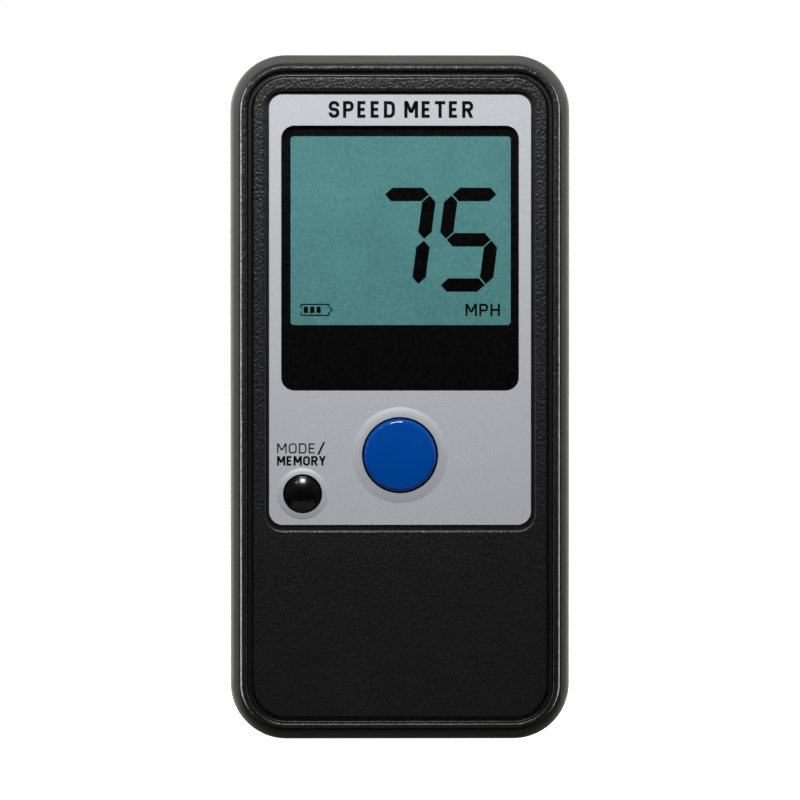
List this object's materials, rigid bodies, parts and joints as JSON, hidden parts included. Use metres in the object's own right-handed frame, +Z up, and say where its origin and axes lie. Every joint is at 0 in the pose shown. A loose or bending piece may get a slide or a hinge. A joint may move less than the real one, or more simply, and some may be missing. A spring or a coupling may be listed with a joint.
{
  "type": "speed radar gun",
  "caption": "Palm-size, phone-shaped speed radar with an upright display, a round measure button, a small mode button, a rubber side band and a hinged battery door.",
  "frame": {"origin": "middle of the bottom end, on the surface that the upright unit stands on, halfway between the front plane and the back", "axes": "+Z up the case from the bottom end to the top, -Y out of the display, +Y out of the back where the radar looks, +X to the right as the display is read"},
  "size_m": [0.0584, 0.021, 0.118],
  "materials": {
    "band_rubber": "smooth satin elastomer, dark warm grey",
    "shell_black": "fine spark-eroded black",
    "label_silver": "printed silver polyester, fine matte grain",
    "door_label_film": "blank silver polyester film",
    "window_clear": "clear hard-coated acrylic",
    "button_blue": "polished blue",
    "button_black": "polished black",
    "screw_steel": "black-passivated steel",
    "gasket_foam": "closed-cell foam",
    "lcd_face": "teal reflective display",
    "lcd_rear_glass": "clear glass",
    "reflector_film": "matte reflective film",
    "contact_rubber": "layered conductive rubber",
    "frame_black": "moulded black",
    "circuit_green": "green solder mask",
    "switch_steel": "stamped tinned steel",
    "switch_plunger": "moulded black",
    "chip_black": "moulded epoxy",
    "lead_tin": "tin plate",
    "ferrite": "ground ferrite",
    "can_aluminium": "drawn aluminium",
    "capacitor_ceramic": "fired ceramic",
    "antenna_laminate": "ceramic-filled laminate",
    "gold_plate": "gold-plated copper",
    "spacer_nylon": "moulded nylon",
    "shield_tin": "tin-plated steel",
    "cell_jacket": "printed cell jacket over a steel can",
    "contact_nickel": "nickel-plated spring steel"
  },
  "bodies": {
    "housing": {"front_shell": "shell_black", "side_band": "band_rubber", "rear_shell": "shell_black", "case_screws": "screw_steel", "front_label": "label_silver", "display_window": "window_clear", "display_gasket": "gasket_foam", "display_front_glass": "lcd_face", "display_rear_glass": "lcd_rear_glass", "display_reflector": "reflector_film", "display_frame": "frame_black", "contact_strip": "contact_rubber", "main_board": "circuit_green", "board_screws": "screw_steel", "main_switch": "switch_steel", "mode_switch": "switch_steel", "processor_chip": "chip_black", "signal_chip": "chip_black", "chip_leads": "lead_tin", "crystal": "shield_tin", "power_inductor": "ferrite", "electrolytic_capacitors": "can_aluminium", "chip_capacitors": "capacitor_ceramic", "antenna_board": "antenna_laminate", "antenna_patches": "gold_plate", "antenna_spacers": "spacer_nylon", "antenna_screws": "screw_steel", "rf_shield": "shield_tin", "radar_transceiver": "chip_black", "board_connector": "frame_black", "connector_pins": "gold_plate", "left_cell": "cell_jacket", "right_cell": "cell_jacket", "battery_springs": "contact_nickel", "bridge_contact": "contact_nickel", "terminal_contacts": "contact_nickel"},
    "battery_door": {"battery_door": "shell_black", "door_label": "door_label_film"},
    "main_button": {"main_button": "button_blue", "main_switch_plunger": "switch_plunger"},
    "mode_button": {"mode_button": "button_black", "mode_switch_plunger": "switch_plunger"}
  },
  "joints": [
    {"name": "main_button_press", "type": "slide", "parent": "housing", "child": "main_button", "axis": [0, 1, 0], "range_m": [0, 0.0007], "stiffness_N_per_m": 2500},
    {"name": "mode_button_press", "type": "slide", "parent": "housing", "child": "mode_button", "axis": [0, 1, 0], "range_m": [0, 0.0005], "stiffness_N_per_m": 3000},
    {"name": "battery_door_hinge", "type": "hinge", "parent": "housing", "child": "battery_door", "pos_m": [0, 0.0092, 0.0129], "axis": [-1, 0, 0], "range_deg": [0, 85]}
  ]
}
